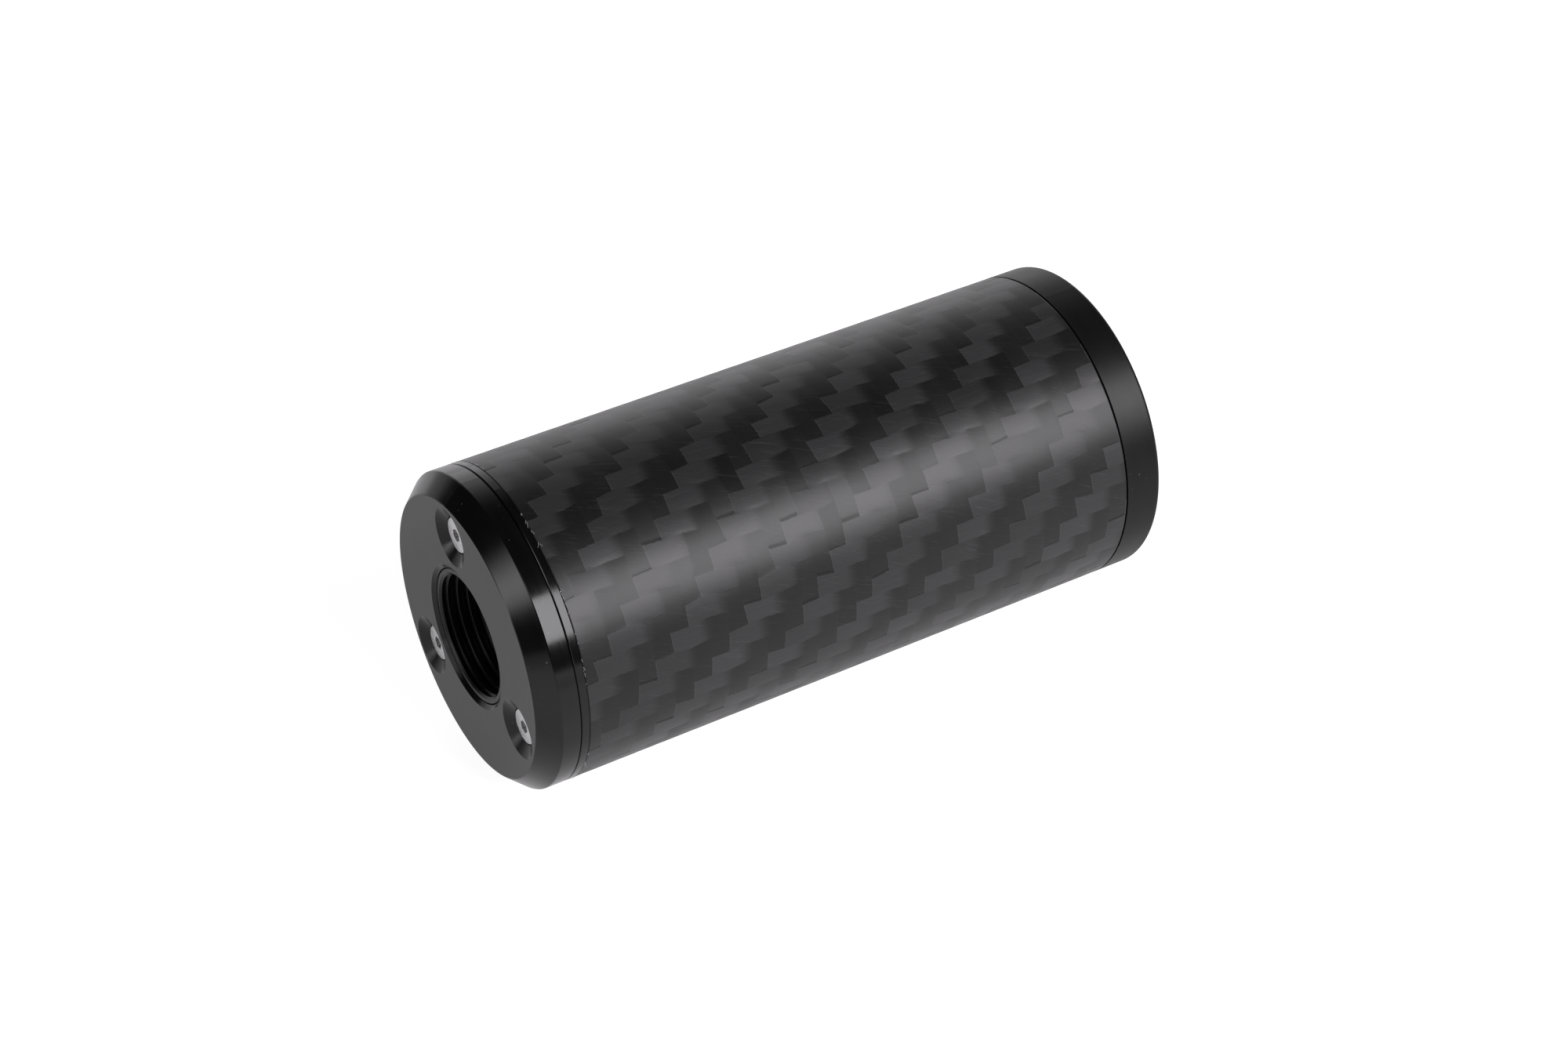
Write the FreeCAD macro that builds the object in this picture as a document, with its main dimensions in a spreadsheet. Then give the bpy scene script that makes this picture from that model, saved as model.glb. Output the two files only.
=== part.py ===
"""Inert display dummy of a carbon-sleeved barrel accessory, as a parametric document.

Every turned piece is drawn in its own frame: X runs along the axis from the front face to the rear,
and radii are measured from that axis. The whole object then lies on its side, on the plane z = 0.
"""
import FreeCAD
import Part
import Sketcher
import math
import os
import re

# Driving dimensions, in mm, degrees or plain counts: alias, value, meaning.
SIZES = [
    ("body_radius", 17.5, "outside radius of the sleeve and both caps"),
    ("overall_length", 75.7, "front face to rear face"),
    ("seam_chamfer", 0.07, "broken edges of the flange and the sleeve"),
    ("seam_gap", 0.17, "axial width of the narrow relief at a cap's shoulder"),
    ("seam_gap_depth", 0.25, "radial depth of that relief"),
    ("edge_break", 0.1, "broken edge of the front face and its big chamfer"),
    ("slip_gap", 0.05, "radial gap of pieces that are slid together"),
    ("thread_gap", 0.1, "radial gap at the rear cap's screw fit"),
    ("cap_face_radius", 15.6, "flat part of the front face"),
    ("cap_chamfer_length", 2.1, "axial length of the big front chamfer"),
    ("front_cap_band", 4.3, "front face to the cap's shoulder"),
    ("cap_spigot_length", 4.0, "front cap's spigot, inside the tube"),
    ("cap_hole_radius", 7.55, "centre hole of the front cap"),
    ("hole_bevel_width", 0.45, "radial width of the bevel round that hole"),
    ("hole_bevel_depth", 0.38, "axial depth of that bevel"),
    ("flange_thickness", 0.9, "thin ring between front cap and sleeve"),
    ("sleeve_length", 66.0, "woven sleeve"),
    ("sleeve_wall", 1.25, "woven sleeve's wall"),
    ("tube_bore_radius", 15.0, "inside of the tube under the sleeve"),
    ("tube_lip_radius", 13.6, "inner lip that cap and core clamp"),
    ("tube_lip_length", 1.0, "axial length of that lip"),
    ("lead_chamfer", 0.3, "chamfer at the end of spigots and core"),
    ("seal_section_radius", 0.42, "half the thickness of an O-ring"),
    ("seal_groove_width", 1.3, "width of an O-ring groove"),
    ("seal_groove_depth", 0.85, "depth of an O-ring groove"),
    ("seal_groove_offset", 1.2, "cap shoulder to O-ring groove"),
    ("bush_face_depth", 0.38, "bush face below the front face"),
    ("bush_rim_chamfer", 0.12, "broken outer edge of the bush face"),
    ("bush_mouth_width", 0.25, "radial width of the lead-in at the socket's mouth"),
    ("bush_mouth_depth", 0.2, "axial depth of that lead-in"),
    ("bush_flange_radius", 9.4, "rear flange that traps the bush"),
    ("bush_flange_length", 2.0, "axial length of that flange"),
    ("bush_tail_length", 2.0, "tail of the bush, in the core's recess"),
    ("socket_radius", 6.75, "plain lands inside the blind socket"),
    ("socket_depth", 8.0, "depth of the blind socket"),
    ("ring_groove_depth", 0.42, "depth of each closed ring groove"),
    ("ring_groove_width", 0.65, "width of each ring groove at its mouth"),
    ("ring_groove_spacing", 1.15, "spacing of the ring grooves"),
    ("ring_groove_offset", 0.25, "bush face to the first ring groove"),
    ("ring_groove_count", 5, "number of ring grooves"),
    ("screw_count", 3, "screws in the front cap"),
    ("screw_circle_radius", 11.94, "screw centres from the axis"),
    ("screw_phase", 10.05, "first screw's turn from the top"),
    ("recess_mouth_radius", 3.27, "conical screw recess at the face"),
    ("recess_depth", 0.75, "face to the top of a screw head"),
    ("head_radius", 2.0, "flat head of a screw"),
    ("head_edge", 0.12, "broken edge on top of the head"),
    ("head_land", 0.25, "upright rim of the head"),
    ("shank_radius", 1.0, "screw shank"),
    ("screw_length", 10.0, "screw, head included"),
    ("screw_tip_chamfer", 0.3, "chamfer at the screw's tip"),
    ("screw_hole_radius", 1.15, "clearance hole in the front cap"),
    ("screw_hole_depth", 4.5, "depth of a screw hole in the core"),
    ("fit_gap", 0.03, "radial gap round a screw's head and shank"),
    ("hex_flats", 1.3, "hexagon socket across its flats"),
    ("hex_depth", 0.9, "depth of the hexagon socket"),
    ("rear_spigot_length", 7.0, "rear cap's spigot, inside the tube"),
    ("rear_edge_radius", 0.5, "rounded rear edge"),
    ("rear_dish_radius", 6.0, "shallow closed dish in the rear face"),
    ("rear_dish_depth", 1.0, "depth of that dish"),
    ("core_end_gap", 0.1, "core to rear cap"),
]

# Stations along the axis, as formulas of the sheet's aliases.
CAP_SHOULDER = "front_cap_band"
SLEEVE_START = "front_cap_band + flange_thickness"
SLEEVE_END = "front_cap_band + flange_thickness + sleeve_length"
CAP_SPIGOT_END = "front_cap_band + cap_spigot_length"
LIP_END = "front_cap_band + cap_spigot_length + tube_lip_length"
BUSH_FLANGE_START = "front_cap_band + cap_spigot_length - bush_flange_length"
REAR_SPIGOT_START = "front_cap_band + flange_thickness + sleeve_length - rear_spigot_length"
SCREW_SEAT = "recess_depth + head_land + head_radius + fit_gap - screw_hole_radius"

# Radii that are worked out from others.
TUBE_OUTER = "body_radius - sleeve_wall - slip_gap"
CAP_SPIGOT_RADIUS = "tube_bore_radius - slip_gap"
REAR_SPIGOT_RADIUS = "tube_bore_radius - thread_gap"
BUSH_RADIUS = "cap_hole_radius - slip_gap"

# Each screw stopped at its own angle when it was tightened, in degrees per screw number.
HEXAGON_TURN = 25.0

ALIASES = {alias for alias, value, meaning in SIZES}

doc = FreeCAD.newDocument("InertDummy")
sheet = doc.addObject("Spreadsheet::Sheet", "Sizes")


def fill_sheet():
    """Write every driving dimension to the sheet, one row each."""
    for row, (alias, value, meaning) in enumerate(SIZES, start=1):
        sheet.set("A%d" % row, meaning)
        sheet.set("B%d" % row, str(value))
        sheet.setAlias("B%d" % row, alias)
    doc.recompute()


def sheet_word(match):
    """A word of a formula, with the sheet's name before it if it is an alias."""
    word = match.group()
    return "Sizes." + word if word in ALIASES else word


def bound(formula):
    """Turn a formula of aliases into an expression that reads the sheet."""
    return re.sub(r"[a-z][a-z_]+", sheet_word, formula)


def value_of(formula):
    """The formula's present value, as a plain number."""
    result = sheet.evalExpression(bound(formula))
    return float(getattr(result, "Value", result))


def origin_feature(body, role):
    """One of the body's own origin planes or axes."""
    for feature in body.Origin.OriginFeatures:
        if feature.Role == role:
            return feature
    raise RuntimeError("no origin feature " + role)


def new_sketch(body, name, plane):
    """An empty sketch on one of the body's origin planes."""
    sketch = body.newObject("Sketcher::SketchObject", name)
    sketch.AttachmentSupport = (origin_feature(body, plane), [""])
    sketch.MapMode = "FlatFace"
    return sketch


def bind_point(sketch, line, formula, kind, axis_line):
    """Hold a line's start point at the formula's distance from the origin."""
    value = value_of(formula)
    if abs(value) < 1e-9:
        sketch.addConstraint(Sketcher.Constraint("PointOnObject", line, 1, axis_line))
        return
    index = sketch.addConstraint(Sketcher.Constraint(kind, -1, 1, line, 1, value))
    sketch.setExpression("Constraints[%d]" % index, bound(formula))


def draw_outline(sketch, corners):
    """Draw a closed outline whose corners are (axial, radial) formulas."""
    points = [FreeCAD.Vector(value_of(x), value_of(r), 0) for x, r in corners]
    first = sketch.GeometryCount
    count = len(points)
    for index in range(count):
        segment = Part.LineSegment(points[index], points[(index + 1) % count])
        sketch.addGeometry(segment, False)
    for index in range(count):
        following = first + (index + 1) % count
        sketch.addConstraint(Sketcher.Constraint("Coincident", first + index, 2, following, 1))
    for index, (axial, radial) in enumerate(corners):
        bind_point(sketch, first + index, axial, "DistanceX", -2)
        bind_point(sketch, first + index, radial, "DistanceY", -1)


def draw_hexagon(sketch, flats):
    """Draw a regular hexagon round the origin, that many mm across its flats."""
    radius_formula = flats + " / sqrt(3)"
    radius = value_of(radius_formula)
    corners = []
    for step in range(6):
        angle = step * math.pi / 3
        corners.append(FreeCAD.Vector(radius * math.cos(angle), radius * math.sin(angle), 0))
    for step in range(6):
        sketch.addGeometry(Part.LineSegment(corners[step], corners[(step + 1) % 6]), False)
    up = FreeCAD.Vector(0, 0, 1)
    guide = sketch.addGeometry(Part.Circle(FreeCAD.Vector(0, 0, 0), up, radius), True)
    sketch.addConstraint(Sketcher.Constraint("Coincident", guide, 3, -1, 1))
    size = sketch.addConstraint(Sketcher.Constraint("Radius", guide, radius))
    sketch.setExpression("Constraints[%d]" % size, bound(radius_formula))
    for step in range(6):
        sketch.addConstraint(Sketcher.Constraint("Coincident", step, 2, (step + 1) % 6, 1))
        sketch.addConstraint(Sketcher.Constraint("PointOnObject", step, 1, guide))
    for step in range(1, 6):
        sketch.addConstraint(Sketcher.Constraint("Equal", 0, step))
    sketch.addConstraint(Sketcher.Constraint("PointOnObject", 0, 1, -1))


def turned_body(name, corners):
    """A body turned about its own X axis from a closed half section."""
    body = doc.addObject("PartDesign::Body", name)
    body.Label = name
    sketch = new_sketch(body, name + "_section", "XZ_Plane")
    draw_outline(sketch, corners)
    turning = body.newObject("PartDesign::Revolution", name + "_turning")
    turning.Profile = sketch
    turning.ReferenceAxis = (sketch, ["H_Axis"])
    turning.Angle = 360
    doc.recompute()
    return body


def drilled(body, name, corners):
    """Cut a round stepped hole, centred on the screw circle, and repeat it for every screw.

    The corners are (axial, radial) formulas measured from the hole's own axis.
    """
    before = body.Shape.Volume
    sketch = new_sketch(body, name + "_section", "XZ_Plane")
    lifted = [(x, "screw_circle_radius + " + r) for x, r in corners]
    draw_outline(sketch, lifted)
    ends = [value_of(x) for x, r in corners]
    height = value_of("screw_circle_radius")
    start = FreeCAD.Vector(min(ends), height, 0)
    stop = FreeCAD.Vector(max(ends), height, 0)
    axis_line = sketch.addGeometry(Part.LineSegment(start, stop), True)
    sketch.addConstraint(Sketcher.Constraint("Horizontal", axis_line))
    bind_point(sketch, axis_line, "screw_circle_radius", "DistanceY", -1)
    hole = body.newObject("PartDesign::Groove", name)
    hole.Profile = sketch
    hole.ReferenceAxis = (sketch, ["Axis0"])
    hole.Angle = 360
    doc.recompute()
    pattern = body.newObject("PartDesign::PolarPattern", name + "_pattern")
    pattern.Originals = [hole]
    pattern.Axis = (origin_feature(body, "X_Axis"), [""])
    pattern.Angle = 360
    pattern.setExpression("Occurrences", bound("screw_count"))
    body.Tip = pattern
    doc.recompute()
    check_removed(body, before)


def check_removed(body, before):
    """Stop if the last cut took nothing away."""
    if body.Shape.Volume >= before - 1e-6:
        raise RuntimeError(body.Label + ": the cut removed nothing")


def lay_down(part, along="0", across="0", up="0", turn=0.0):
    """Place a part so that the object's axis is level, with its lowest line on z = 0.

    along, across and up are formulas, from the front face and from the axis; turn is in degrees.
    """
    part.Placement = FreeCAD.Placement(
        FreeCAD.Vector(0, 0, 0), FreeCAD.Rotation(FreeCAD.Vector(1, 0, 0), turn))
    part.setExpression(".Placement.Base.x", bound(along + " - overall_length / 2"))
    part.setExpression(".Placement.Base.y", bound(across))
    part.setExpression(".Placement.Base.z", bound("body_radius + " + up))


def make_front_cap():
    """Chamfered cap: centre hole, rear counterbore for the bush, seal groove and screw holes."""
    groove_start = CAP_SHOULDER + " + seal_groove_offset"
    groove_end = groove_start + " + seal_groove_width"
    groove_floor = CAP_SPIGOT_RADIUS + " - seal_groove_depth"
    body = turned_body("front_cap", [
        ("0", "cap_hole_radius + hole_bevel_width"),
        ("0", "cap_face_radius - edge_break / 2"),
        ("edge_break * 0.7", "cap_face_radius + edge_break * 0.5"),
        ("cap_chamfer_length - edge_break * 0.7", "body_radius - edge_break * 0.6"),
        ("cap_chamfer_length + edge_break / 2", "body_radius"),
        (CAP_SHOULDER + " - seam_gap", "body_radius"),
        (CAP_SHOULDER + " - seam_gap", "body_radius - seam_gap_depth"),
        (CAP_SHOULDER, "body_radius - seam_gap_depth"),
        (CAP_SHOULDER, CAP_SPIGOT_RADIUS),
        (groove_start, CAP_SPIGOT_RADIUS),
        (groove_start, groove_floor),
        (groove_end, groove_floor),
        (groove_end, CAP_SPIGOT_RADIUS),
        (CAP_SPIGOT_END + " - lead_chamfer", CAP_SPIGOT_RADIUS),
        (CAP_SPIGOT_END, CAP_SPIGOT_RADIUS + " - lead_chamfer"),
        (CAP_SPIGOT_END, "bush_flange_radius + slip_gap"),
        (BUSH_FLANGE_START, "bush_flange_radius + slip_gap"),
        (BUSH_FLANGE_START, "cap_hole_radius"),
        ("hole_bevel_depth", "cap_hole_radius"),
    ])
    drilled(body, "cap_screw_hole", [
        ("0", "0"),
        ("0", "recess_mouth_radius"),
        ("recess_depth", "head_radius + fit_gap"),
        ("recess_depth + head_land", "head_radius + fit_gap"),
        (SCREW_SEAT, "screw_hole_radius"),
        (CAP_SPIGOT_END, "screw_hole_radius"),
        (CAP_SPIGOT_END, "0"),
    ])
    lay_down(body, turn=-value_of("screw_phase"))
    return body


def make_socket_bush():
    """Insert that lines the cap's centre hole: a blind socket with closed ring grooves."""
    floor = "bush_face_depth + socket_depth"
    tail_end = CAP_SPIGOT_END + " + bush_tail_length"
    body = turned_body("socket_bush", [
        ("bush_face_depth", "socket_radius + bush_mouth_width"),
        ("bush_face_depth", BUSH_RADIUS + " - bush_rim_chamfer"),
        ("bush_face_depth + bush_rim_chamfer", BUSH_RADIUS),
        (BUSH_FLANGE_START, BUSH_RADIUS),
        (BUSH_FLANGE_START, "bush_flange_radius"),
        (CAP_SPIGOT_END, "bush_flange_radius"),
        (CAP_SPIGOT_END, BUSH_RADIUS),
        (tail_end, BUSH_RADIUS),
        (tail_end, "0"),
        (floor, "0"),
        (floor, "socket_radius"),
        ("bush_face_depth + bush_mouth_depth", "socket_radius"),
    ])
    before = body.Shape.Volume
    groove_start = "bush_face_depth + ring_groove_offset"
    sketch = new_sketch(body, "ring_groove_section", "XZ_Plane")
    draw_outline(sketch, [
        (groove_start, "socket_radius"),
        (groove_start + " + ring_groove_width / 2", "socket_radius + ring_groove_depth"),
        (groove_start + " + ring_groove_width", "socket_radius"),
    ])
    groove = body.newObject("PartDesign::Groove", "ring_groove")
    groove.Profile = sketch
    groove.ReferenceAxis = (sketch, ["H_Axis"])
    groove.Angle = 360
    doc.recompute()
    row = body.newObject("PartDesign::LinearPattern", "ring_groove_row")
    row.Originals = [groove]
    row.Direction = (origin_feature(body, "X_Axis"), [""])
    row.setExpression("Length", bound("ring_groove_spacing * (ring_groove_count - 1)"))
    row.setExpression("Occurrences", bound("ring_groove_count"))
    body.Tip = row
    doc.recompute()
    check_removed(body, before)
    lay_down(body)
    return body


def make_cap_screw(number):
    """Flat-head screw with a hexagon socket; its head lies at the bottom of the cap's recess."""
    name = "cap_screw_%d" % number
    body = turned_body(name, [
        ("0", "0"),
        ("0", "head_radius - head_edge"),
        ("head_edge", "head_radius"),
        ("head_land", "head_radius"),
        ("head_land + head_radius - shank_radius", "shank_radius"),
        ("screw_length - screw_tip_chamfer", "shank_radius"),
        ("screw_length", "shank_radius - screw_tip_chamfer"),
        ("screw_length", "0"),
    ])
    before = body.Shape.Volume
    sketch = new_sketch(body, name + "_hexagon", "YZ_Plane")
    draw_hexagon(sketch, "hex_flats")
    socket = body.newObject("PartDesign::Pocket", name + "_socket")
    socket.Profile = sketch
    socket.Reversed = True
    socket.setExpression("Length", bound("hex_depth"))
    doc.recompute()
    check_removed(body, before)
    angle = "(screw_phase + %d * 360 / screw_count)" % (number - 1)
    across = "screw_circle_radius * sin" + angle
    up = "screw_circle_radius * cos" + angle
    lay_down(body, "recess_depth", across, up, HEXAGON_TURN * number)
    return body


def make_flanged_tube():
    """Tube that carries the sleeve: a thin front flange, an inner lip and an open rear end."""
    body = turned_body("flanged_tube", [
        (CAP_SHOULDER, "tube_bore_radius"),
        (CAP_SHOULDER, "body_radius - seam_chamfer"),
        (CAP_SHOULDER + " + seam_chamfer", "body_radius"),
        (SLEEVE_START + " - seam_chamfer", "body_radius"),
        (SLEEVE_START, "body_radius - seam_chamfer"),
        (SLEEVE_START, TUBE_OUTER),
        (SLEEVE_END, TUBE_OUTER),
        (SLEEVE_END, "tube_bore_radius"),
        (LIP_END, "tube_bore_radius"),
        (LIP_END, "tube_lip_radius"),
        (CAP_SPIGOT_END, "tube_lip_radius"),
        (CAP_SPIGOT_END, "tube_bore_radius"),
    ])
    lay_down(body)
    return body


def make_carbon_sleeve():
    """Woven sleeve over the tube, with broken outer edges."""
    inner = "body_radius - sleeve_wall"
    body = turned_body("carbon_sleeve", [
        (SLEEVE_START, inner),
        (SLEEVE_START, "body_radius - seam_chamfer"),
        (SLEEVE_START + " + seam_chamfer", "body_radius"),
        (SLEEVE_END + " - seam_chamfer", "body_radius"),
        (SLEEVE_END, "body_radius - seam_chamfer"),
        (SLEEVE_END, inner),
    ])
    lay_down(body)
    return body


def make_solid_core():
    """Solid filler bar: a front boss through the tube's lip, a recess for the bush and screw holes."""
    recess_floor = CAP_SPIGOT_END + " + bush_tail_length + slip_gap"
    rear_end = REAR_SPIGOT_START + " - core_end_gap"
    body = turned_body("solid_core", [
        (recess_floor, "0"),
        (recess_floor, "cap_hole_radius"),
        (CAP_SPIGOT_END, "cap_hole_radius"),
        (CAP_SPIGOT_END, "tube_lip_radius - slip_gap"),
        (LIP_END, "tube_lip_radius - slip_gap"),
        (LIP_END, CAP_SPIGOT_RADIUS),
        (rear_end + " - lead_chamfer", CAP_SPIGOT_RADIUS),
        (rear_end, CAP_SPIGOT_RADIUS + " - lead_chamfer"),
        (rear_end, "0"),
    ])
    hole_end = CAP_SPIGOT_END + " + screw_hole_depth"
    drilled(body, "core_screw_hole", [
        (CAP_SPIGOT_END, "0"),
        (CAP_SPIGOT_END, "shank_radius + fit_gap"),
        (hole_end, "shank_radius + fit_gap"),
        (hole_end, "0"),
    ])
    lay_down(body, turn=-value_of("screw_phase"))
    return body


def make_rear_cap():
    """Closed rear cap on a solid screw-in spigot, with a seal groove and a shallow dish."""
    groove_end = SLEEVE_END + " - seal_groove_offset"
    groove_start = groove_end + " - seal_groove_width"
    groove_floor = REAR_SPIGOT_RADIUS + " - seal_groove_depth"
    body = turned_body("rear_cap", [
        (REAR_SPIGOT_START, "0"),
        (REAR_SPIGOT_START, REAR_SPIGOT_RADIUS + " - lead_chamfer"),
        (REAR_SPIGOT_START + " + lead_chamfer", REAR_SPIGOT_RADIUS),
        (groove_start, REAR_SPIGOT_RADIUS),
        (groove_start, groove_floor),
        (groove_end, groove_floor),
        (groove_end, REAR_SPIGOT_RADIUS),
        (SLEEVE_END, REAR_SPIGOT_RADIUS),
        (SLEEVE_END, "body_radius - seam_gap_depth"),
        (SLEEVE_END + " + seam_gap", "body_radius - seam_gap_depth"),
        (SLEEVE_END + " + seam_gap", "body_radius"),
        ("overall_length", "body_radius"),
        ("overall_length", "rear_dish_radius"),
        ("overall_length - rear_dish_depth", "rear_dish_radius - rear_dish_depth"),
        ("overall_length - rear_dish_depth", "0"),
    ])
    rounding = body.newObject("PartDesign::Fillet", "rear_edge")
    rim = rear_rim_edge(body)
    rounding.Base = (body.Group[-2], [rim])
    rounding.setExpression("Radius", bound("rear_edge_radius"))
    doc.recompute()
    lay_down(body)
    return body


def rear_rim_edge(body):
    """Name of the circular edge where the rear face meets the outside."""
    for index, edge in enumerate(body.Group[-2].Shape.Edges, start=1):
        curve = edge.Curve
        if not isinstance(curve, Part.Circle):
            continue
        on_face = abs(curve.Center.x - value_of("overall_length")) < 1e-6
        if on_face and abs(curve.Radius - value_of("body_radius")) < 1e-6:
            return "Edge%d" % index
    raise RuntimeError("no rear rim edge")


def make_seal(name, spigot_radius, centre):
    """O-ring that lies in a cap's groove, clear of its floor and of the tube."""
    ring = doc.addObject("Part::Torus", name)
    ring.Label = name
    ring_radius = spigot_radius + " - seal_groove_depth + fit_gap + seal_section_radius"
    ring.setExpression("Radius1", bound(ring_radius))
    ring.setExpression("Radius2", bound("seal_section_radius"))
    ring.Placement = FreeCAD.Placement(
        FreeCAD.Vector(0, 0, 0), FreeCAD.Rotation(FreeCAD.Vector(0, 1, 0), 90))
    ring.setExpression(".Placement.Base.x", bound(centre + " - overall_length / 2"))
    ring.setExpression(".Placement.Base.z", bound("body_radius"))
    doc.recompute()
    return ring


def check_document():
    """Stop if any object failed to compute."""
    for item in doc.Objects:
        if "Invalid" in item.State or "Error" in item.State:
            raise RuntimeError("%s: %s" % (item.Name, item.State))


def export(parts):
    """Check every sub-part's shape, then write each one to parts/."""
    for part in parts:
        if part.Shape.isNull() or not part.Shape.isValid():
            raise RuntimeError(part.Label + ": bad shape")
    os.makedirs("parts", exist_ok=True)
    for part in parts:
        part.Shape.exportStep("parts/%s.step" % part.Label)
        box = part.Shape.BoundBox
        print("%-14s solids %d  volume %9.2f" % (part.Label, len(part.Shape.Solids), part.Shape.Volume),
              " x %7.2f..%7.2f  z %6.2f..%6.2f" % (box.XMin, box.XMax, box.ZMin, box.ZMax))


def main():
    """Build the whole object and write its parts."""
    fill_sheet()
    half_groove = "seal_groove_width / 2"
    parts = [make_front_cap(), make_socket_bush()]
    for number in range(1, int(value_of("screw_count")) + 1):
        parts.append(make_cap_screw(number))
    parts.append(make_seal("front_o_ring", CAP_SPIGOT_RADIUS,
                           CAP_SHOULDER + " + seal_groove_offset + " + half_groove))
    parts.append(make_flanged_tube())
    parts.append(make_carbon_sleeve())
    parts.append(make_solid_core())
    parts.append(make_seal("rear_o_ring", REAR_SPIGOT_RADIUS,
                           SLEEVE_END + " - seal_groove_offset - " + half_groove))
    parts.append(make_rear_cap())
    doc.recompute()
    check_document()
    export(parts)


main()
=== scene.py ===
"""Looks of the inert display dummy: woven sleeve, anodised caps and steel screws in studio light.

The object lies along X. Round it, angles run from the top (+Z) towards the camera's side (-Y).
"""
import math
import random

import bpy
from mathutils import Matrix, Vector


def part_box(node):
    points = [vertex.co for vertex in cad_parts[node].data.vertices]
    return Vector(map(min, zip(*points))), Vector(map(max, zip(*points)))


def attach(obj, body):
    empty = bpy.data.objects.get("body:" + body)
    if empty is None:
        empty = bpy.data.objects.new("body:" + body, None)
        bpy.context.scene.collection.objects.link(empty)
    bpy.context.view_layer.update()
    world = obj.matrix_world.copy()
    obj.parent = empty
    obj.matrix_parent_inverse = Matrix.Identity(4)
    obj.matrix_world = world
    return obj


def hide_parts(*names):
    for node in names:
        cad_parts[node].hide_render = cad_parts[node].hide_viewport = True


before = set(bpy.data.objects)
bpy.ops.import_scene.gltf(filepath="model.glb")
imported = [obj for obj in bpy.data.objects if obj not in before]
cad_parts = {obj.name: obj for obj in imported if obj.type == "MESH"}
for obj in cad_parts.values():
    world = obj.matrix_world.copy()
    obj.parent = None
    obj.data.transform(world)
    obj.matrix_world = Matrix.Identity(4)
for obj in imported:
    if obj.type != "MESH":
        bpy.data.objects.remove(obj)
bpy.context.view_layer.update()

MM = 0.001

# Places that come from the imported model.
cap_low, cap_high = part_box("front_cap")
unused, rear_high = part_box("rear_cap")
sleeve_low, sleeve_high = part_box("carbon_sleeve")
FRONT_X = cap_low.x
REAR_X = rear_high.x
AXIS_Z = (cap_low.z + cap_high.z) / 2
BODY_RADIUS = (cap_high.z - cap_low.z) / 2
CENTRE = Vector(((FRONT_X + REAR_X) / 2, 0, AXIS_Z))

# Camera.
CAMERA_AZIMUTH = math.radians(-30.88)
CAMERA_ELEVATION = math.radians(38.24)
CAMERA_DISTANCE = 348.9 * MM
CAMERA_LENS = 74.1
CAMERA_CLIP_START = 10 * MM
AIM = CENTRE + Vector((0.315, -0.28, -0.095)) * MM

# Studio: a long softbox on the camera's side, a tall leaning strip beyond the front face and a
# backdrop behind the object, over a glowing table. Heights and sides of the strip and the
# backdrop are parts of a direction of length 1.
LIGHT_TINT = (1.005, 0.985, 1.01, 1.0)
STUDIO_LEVEL = 0.02
SOFTBOX_ANGLE = math.radians(53.4)
SOFTBOX_TURN = math.radians(21)
SOFTBOX_DISTANCE = 0.6
SOFTBOX_LENGTH = 0.5
SOFTBOX_WIDTH = 0.312
SOFTBOX_RADIANCE = 9.3
STRIP_RADIANCE = 3.8
STRIP_SIDE = 0.185
STRIP_LEAN = 0.64
STRIP_SOFT_WIDTH = 0.46
STRIP_FADE = 0.55
STRIP_TOP = 0.85
STRIP_GAP_HEIGHT = 0.2
STRIP_GAP_LEVEL = 0.25
STRIP_GAP_INNER = 0.06
STRIP_GAP_OUTER = 0.16
BACKDROP_SIDE = (0.51, 0.86, 0.0)
BACKDROP_START = 0.53
BACKDROP_FULL = 0.91
BACKDROP_LEVEL = 1.25
BACKDROP_FADE = 0.15
BACKDROP_TOP = 0.8
BACKDROP_TOP_PART = 0.03

# The table: how much it glows, by place in metres. Away from the object it glows more far behind
# and just in front, and less further out in front and in the far corner beyond the front face.
TABLE_SIZE = 3.0
TABLE_SHADE = 0.45
TABLE_ROUGHNESS = 0.9
TABLE_IOR = 1.3
TABLE_GLOW_NEAR = 0.36
TABLE_GLOW_FAR = 0.70
TABLE_NEAR_Y = 0.05
TABLE_FAR_Y = 0.20
TABLE_FRONT_RISE_Y = -0.022
TABLE_FRONT_FULL_Y = -0.036
TABLE_FRONT_GAIN = 1.5
TABLE_OUTER_Y = -0.075
TABLE_OUTER_FULL_Y = -0.125
TABLE_OUTER_DIM = 0.42
TABLE_GLOW_SEEN = 0.88
TABLE_CORNER_X = -0.04
TABLE_CORNER_Y = 0.04
TABLE_CORNER_WIDTH = 0.04
TABLE_CORNER_DIM = 0.6

# The 2 x 2 twill: tows along the axis cross tows round the body. A cell is one tow wide.
WEAVE_SEED = 7
CELL = 2.15 * MM
ROWS = 48
ROW_ANGLE = 2 * math.pi / ROWS
WEAVE_START_X = FRONT_X + 8.7 * MM
WEAVE_START_ANGLE = math.radians(62.7)
FLOAT_CELLS = 2
REPEAT_CELLS = 4.0
SLEEVE_WALL = 1.25 * MM
SLEEVE_EDGE = 0.07 * MM
TOW_CROWN = 0.007 * MM
TOW_RISE = 0.013 * MM
RISE_CELLS = 0.7
TOW_WANDER = 0.07
TOW_JITTER = 0.07
WANDER_WAVES = 8
WANDER_PEAK = 2.2
CELL_STOPS = (0.0, 0.07, 0.22, 0.4, 0.6, 0.78, 0.93)
END_MARGIN_CELLS = 0.2
EDGE_CRISP_CELLS = 0.03

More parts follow.
